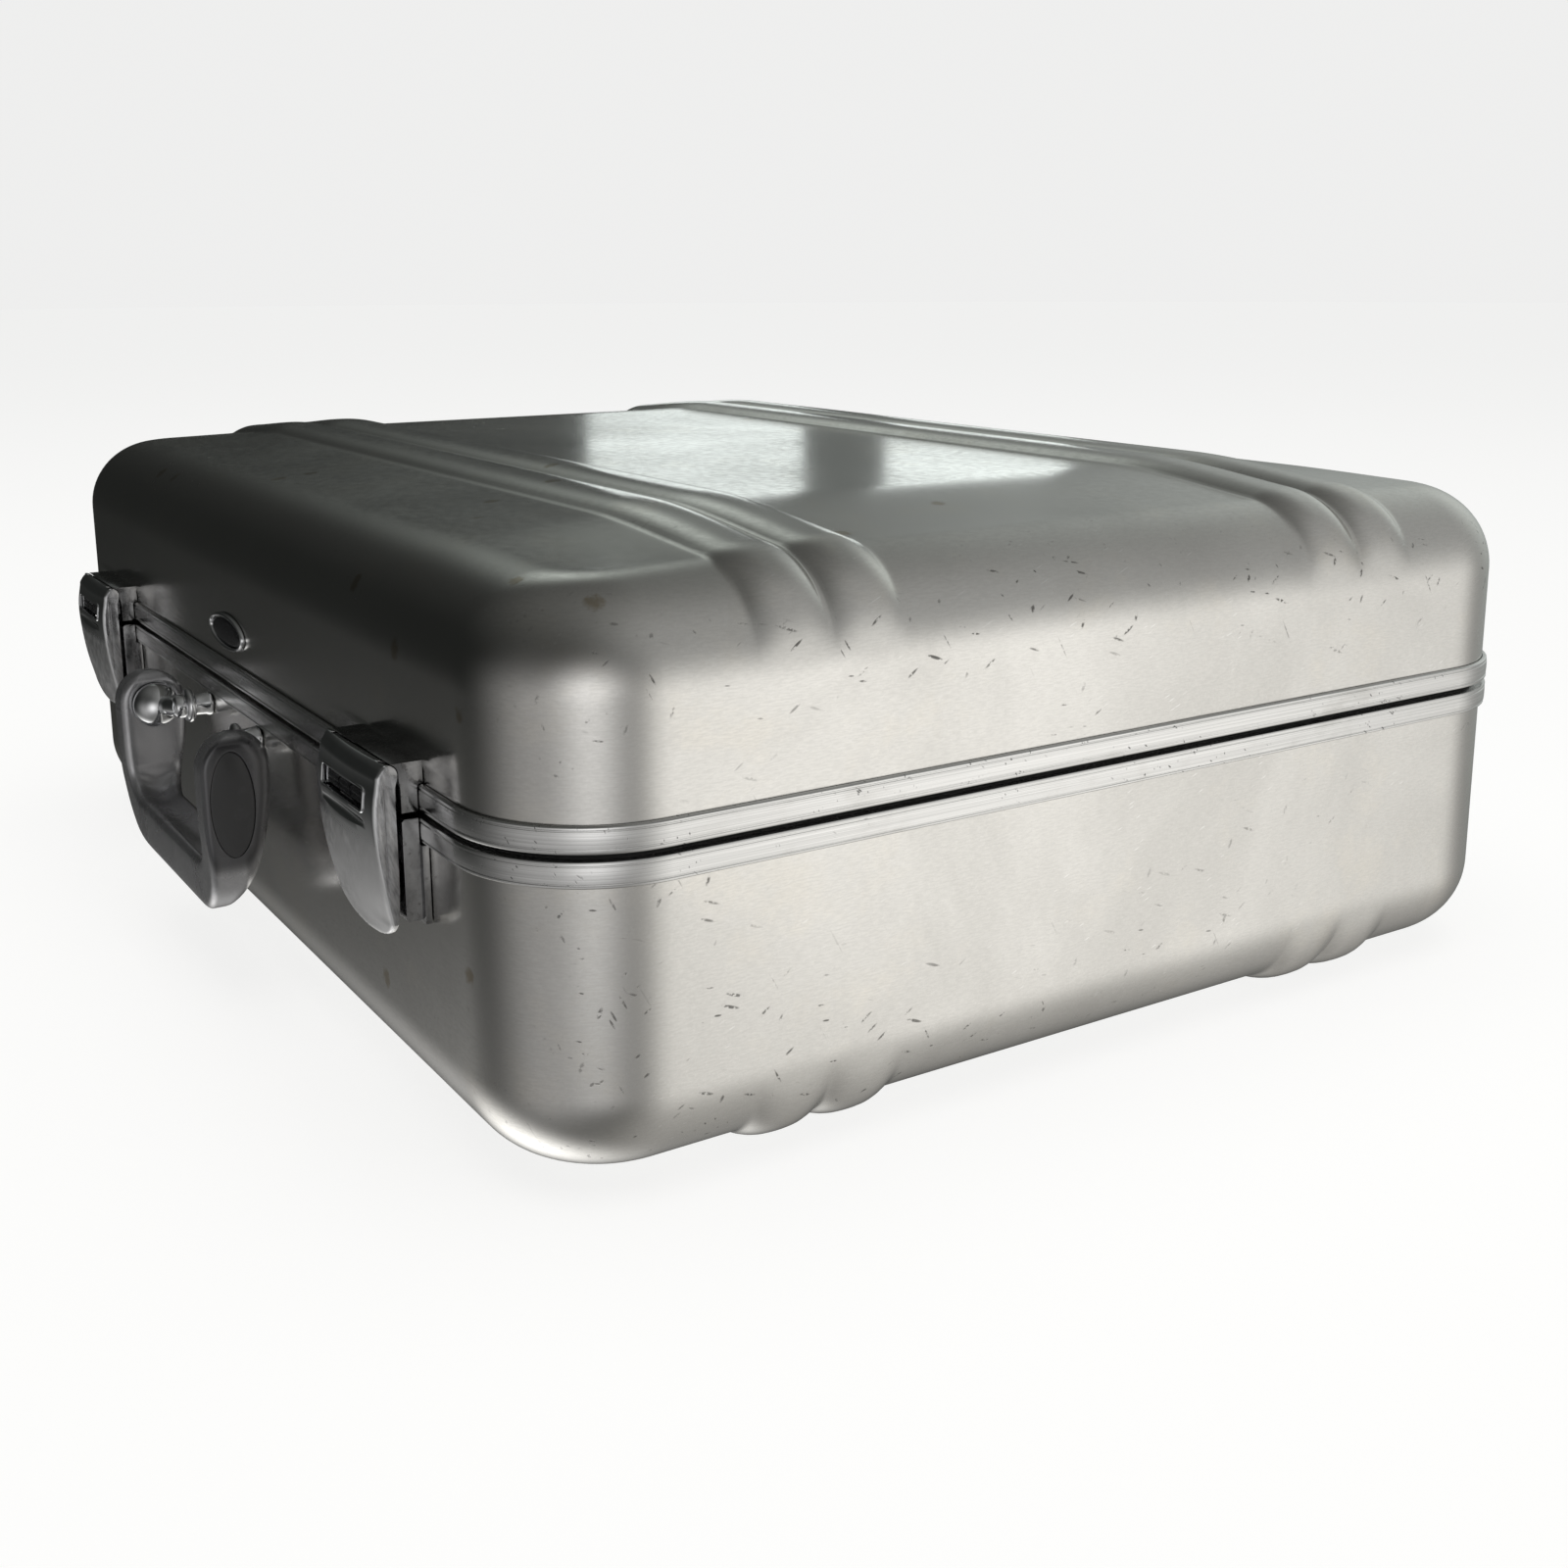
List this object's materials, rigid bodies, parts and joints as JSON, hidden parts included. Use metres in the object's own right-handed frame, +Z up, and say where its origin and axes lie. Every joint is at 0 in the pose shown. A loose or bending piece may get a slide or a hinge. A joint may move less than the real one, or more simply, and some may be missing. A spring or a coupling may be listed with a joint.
{
  "type": "hard shell suitcase",
  "caption": "Pressed aluminium hard shell suitcase with ribbed panels, framed seam, swinging bail handle and latches with number dials; its lid hinges open at the back.",
  "frame": {"origin": "centre of the footprint of the case as it lies closed, on the plane that its lower ridges rest on", "axes": "+X along the handle side, +Y from the handle side to the hinges, +Z up through the lid"},
  "size_m": [0.6204, 0.5368, 0.2205],
  "materials": {
    "shell_sheet": "satin anodised sheet, faintly brushed, scuffed",
    "frame_extrusion": "polished extrusion with fine lengthwise lines",
    "chrome": "bright chrome, worn",
    "steel": "plain steel",
    "handle_satin": "satin grey",
    "handle_black": "soft gloss black",
    "dial_black": "gloss black",
    "badge_black": "gloss black, blank",
    "seal_rubber": "matt black",
    "lining_cloth": "woven cloth"
  },
  "bodies": {
    "base": {"base_shell": "shell_sheet", "base_frame": "frame_extrusion", "seam_gasket": "seal_rubber", "base_lining": "lining_cloth", "catch_block_left": "chrome", "catch_bumper_left": "seal_rubber", "handle_post_left": "chrome", "post_nut_left": "steel", "hinge_base_leaf_left": "steel", "hinge_pin_left": "steel", "base_foot_left": "seal_rubber", "catch_block_right": "chrome", "catch_bumper_right": "seal_rubber", "handle_post_right": "chrome", "post_nut_right": "steel", "hinge_base_leaf_right": "steel", "hinge_pin_right": "steel", "base_foot_right": "seal_rubber"},
    "lid": {"lid_shell": "shell_sheet", "lid_frame": "frame_extrusion", "lid_lining": "lining_cloth", "badge_rim": "chrome", "badge_plate": "badge_black", "latch_block_left": "chrome", "latch_pin_left": "steel", "hinge_lid_leaf_left": "steel", "lid_foot_left": "seal_rubber", "latch_block_right": "chrome", "latch_pin_right": "steel", "hinge_lid_leaf_right": "steel", "lid_foot_right": "seal_rubber"},
    "handle": {"handle_grip": "handle_satin", "handle_inset_left": "handle_black", "handle_pin_left": "steel", "handle_inset_right": "handle_black", "handle_pin_right": "steel"},
    "latch_left": {"latch_cover_left": "chrome", "dial_spindle_left": "steel", "latch_claw_left": "steel"},
    "dial_left_1_body": {"dial_left_1": "dial_black"},
    "dial_left_2_body": {"dial_left_2": "dial_black"},
    "dial_left_3_body": {"dial_left_3": "dial_black"},
    "latch_right": {"latch_cover_right": "chrome", "dial_spindle_right": "steel", "latch_claw_right": "steel"},
    "dial_right_1_body": {"dial_right_1": "dial_black"},
    "dial_right_2_body": {"dial_right_2": "dial_black"},
    "dial_right_3_body": {"dial_right_3": "dial_black"}
  },
  "joints": [
    {"name": "lid_hinge", "type": "hinge", "parent": "base", "child": "lid", "pos_m": [0, 0.2626, 0.1233], "axis": [-1, 0, 0], "range_deg": [0, 100]},
    {"name": "handle_swing", "type": "hinge", "parent": "base", "child": "handle", "pos_m": [0, -0.2534, 0.1045], "axis": [-1, 0, 0], "range_deg": [0, 95]},
    {"name": "latch_swing_left", "type": "hinge", "parent": "lid", "child": "latch_left", "pos_m": [-0.2, -0.2461, 0.138], "axis": [-1, 0, 0], "range_deg": [0, 100]},
    {"name": "dial_turn_left_1", "type": "hinge", "parent": "latch_left", "child": "dial_left_1_body", "pos_m": [-0.2115, -0.2463, 0.1281], "axis": [1, 0, 0], "continuous": true},
    {"name": "dial_turn_left_2", "type": "hinge", "parent": "latch_left", "child": "dial_left_2_body", "pos_m": [-0.2, -0.2463, 0.1281], "axis": [1, 0, 0], "continuous": true},
    {"name": "dial_turn_left_3", "type": "hinge", "parent": "latch_left", "child": "dial_left_3_body", "pos_m": [-0.1885, -0.2463, 0.1281], "axis": [1, 0, 0], "continuous": true},
    {"name": "latch_swing_right", "type": "hinge", "parent": "lid", "child": "latch_right", "pos_m": [0.2, -0.2461, 0.138], "axis": [-1, 0, 0], "range_deg": [0, 100]},
    {"name": "dial_turn_right_1", "type": "hinge", "parent": "latch_right", "child": "dial_right_1_body", "pos_m": [0.1885, -0.2463, 0.1281], "axis": [1, 0, 0], "continuous": true},
    {"name": "dial_turn_right_2", "type": "hinge", "parent": "latch_right", "child": "dial_right_2_body", "pos_m": [0.2, -0.2463, 0.1281], "axis": [1, 0, 0], "continuous": true},
    {"name": "dial_turn_right_3", "type": "hinge", "parent": "latch_right", "child": "dial_right_3_body", "pos_m": [0.2115, -0.2463, 0.1281], "axis": [1, 0, 0], "continuous": true}
  ]
}
